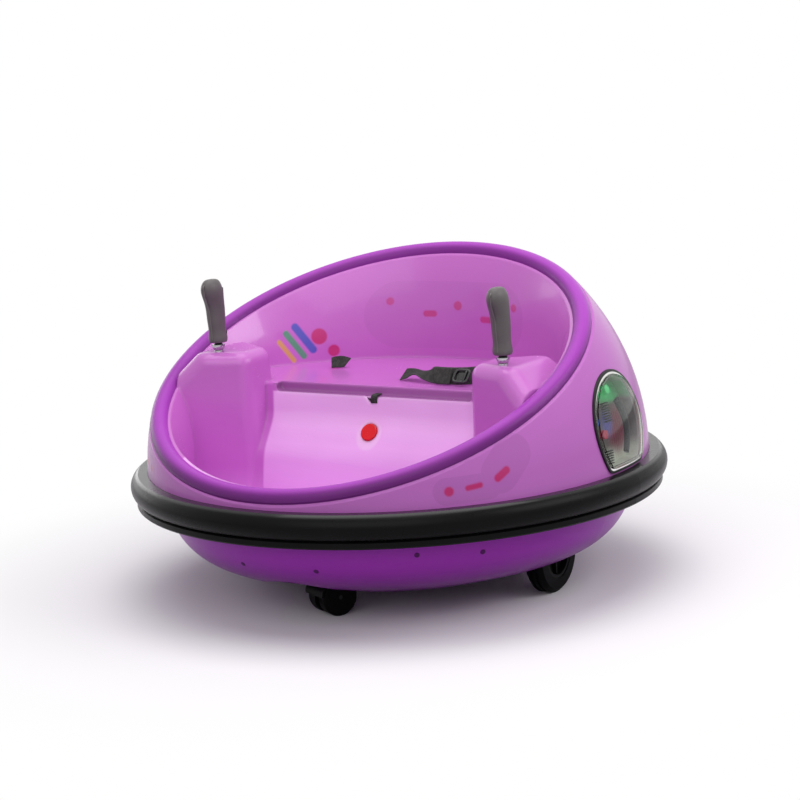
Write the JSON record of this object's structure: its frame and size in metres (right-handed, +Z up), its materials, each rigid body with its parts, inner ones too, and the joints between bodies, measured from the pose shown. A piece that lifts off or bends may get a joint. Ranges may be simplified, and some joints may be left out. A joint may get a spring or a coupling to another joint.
{
  "type": "ride-on toy bumper car",
  "caption": "Round child's ride-on bumper car: domed shell with leaning cockpit rim, rubber bumper ring, joysticks, side lamps, drive wheels and casters.",
  "frame": {"origin": "on the floor under the middle of the bumper ring", "axes": "+Z up, -Y to the front where the feet go, +X to the seated child's left"},
  "size_m": [0.7301, 0.7302, 0.4375],
  "materials": {
    "dome_plastic": "glossy, slightly translucent",
    "hull_plastic": "satin moulded",
    "ring_rubber": "satin",
    "tub_plastic": "glossy moulded",
    "trim_plastic": "glossy",
    "battery_case": "matte",
    "button_red": "glossy",
    "buckle_black": "satin",
    "webbing": "woven",
    "gasket_black": "matte",
    "reflector_silver": "bright",
    "lens_clear": "clear polished",
    "lamp_light": "clear coloured",
    "steel": "plated",
    "gearbox_black": "matte",
    "drive_rubber": "matte",
    "hub_grey": "satin",
    "grip_grey": "satin",
    "caster_black": "satin",
    "caster_tread": "satin"
  },
  "bodies": {
    "body": {"upper_shell": "dome_plastic", "lower_shell": "hull_plastic", "bumper_ring": "ring_rubber", "cockpit_tub": "tub_plastic", "rim_trim": "trim_plastic", "battery": "battery_case", "battery_door": "hull_plastic", "power_button": "button_red", "belt_buckle": "buckle_black", "crotch_strap": "webbing", "strap_left": "webbing", "strap_right": "webbing", "lamp_gasket_left": "gasket_black", "lamp_reflector_left": "reflector_silver", "lamp_lens_left": "lens_clear", "lamp_lights_left": "lamp_light", "drive_axle_left": "steel", "gearbox_left": "gearbox_black", "joystick_base_left": "steel", "lamp_gasket_right": "gasket_black", "lamp_reflector_right": "reflector_silver", "lamp_lens_right": "lens_clear", "lamp_lights_right": "lamp_light", "drive_axle_right": "steel", "gearbox_right": "gearbox_black", "joystick_base_right": "steel", "caster_mount_front": "steel", "caster_mount_rear": "steel"},
    "drive_wheel_left": {"drive_tyre_left": "drive_rubber", "drive_hub_left": "hub_grey"},
    "joystick_left": {"joystick_stem_left": "steel", "joystick_grip_left": "grip_grey"},
    "drive_wheel_right": {"drive_tyre_right": "drive_rubber", "drive_hub_right": "hub_grey"},
    "joystick_right": {"joystick_stem_right": "steel", "joystick_grip_right": "grip_grey"},
    "caster_swivel_front": {"caster_fork_front": "caster_black"},
    "caster_pair_front": {"caster_wheels_front": "caster_tread", "caster_axle_front": "steel"},
    "caster_swivel_rear": {"caster_fork_rear": "caster_black"},
    "caster_pair_rear": {"caster_wheels_rear": "caster_tread", "caster_axle_rear": "steel"}
  },
  "joints": [
    {"name": "drive_roll_left", "type": "hinge", "parent": "body", "child": "drive_wheel_left", "pos_m": [0.229, 0, 0.052], "axis": [1, 0, 0], "continuous": true},
    {"name": "joystick_tilt_left", "type": "hinge", "parent": "body", "child": "joystick_left", "pos_m": [0.22274, -0.092, 0.329], "axis": [1, 0, 0], "range_deg": [-15, 15], "stiffness_Nm_per_rad": 2},
    {"name": "drive_roll_right", "type": "hinge", "parent": "body", "child": "drive_wheel_right", "pos_m": [-0.229, 0, 0.052], "axis": [1, 0, 0], "continuous": true},
    {"name": "joystick_tilt_right", "type": "hinge", "parent": "body", "child": "joystick_right", "pos_m": [-0.22274, -0.092, 0.329], "axis": [1, 0, 0], "range_deg": [-15, 15], "stiffness_Nm_per_rad": 2},
    {"name": "caster_turn_front", "type": "hinge", "parent": "body", "child": "caster_swivel_front", "pos_m": [0, -0.215, 0.055], "axis": [0, 0, 1], "continuous": true},
    {"name": "caster_roll_front", "type": "hinge", "parent": "caster_swivel_front", "child": "caster_pair_front", "pos_m": [0.00999, -0.1954, 0.025], "axis": [0.891, -0.454, 0], "continuous": true},
    {"name": "caster_turn_rear", "type": "hinge", "parent": "body", "child": "caster_swivel_rear", "pos_m": [0, 0.215, 0.055], "axis": [0, 0, 1], "continuous": true},
    {"name": "caster_roll_rear", "type": "hinge", "parent": "caster_swivel_rear", "child": "caster_pair_rear", "pos_m": [0.00999, 0.2346, 0.025], "axis": [0.891, -0.454, 0], "continuous": true}
  ]
}
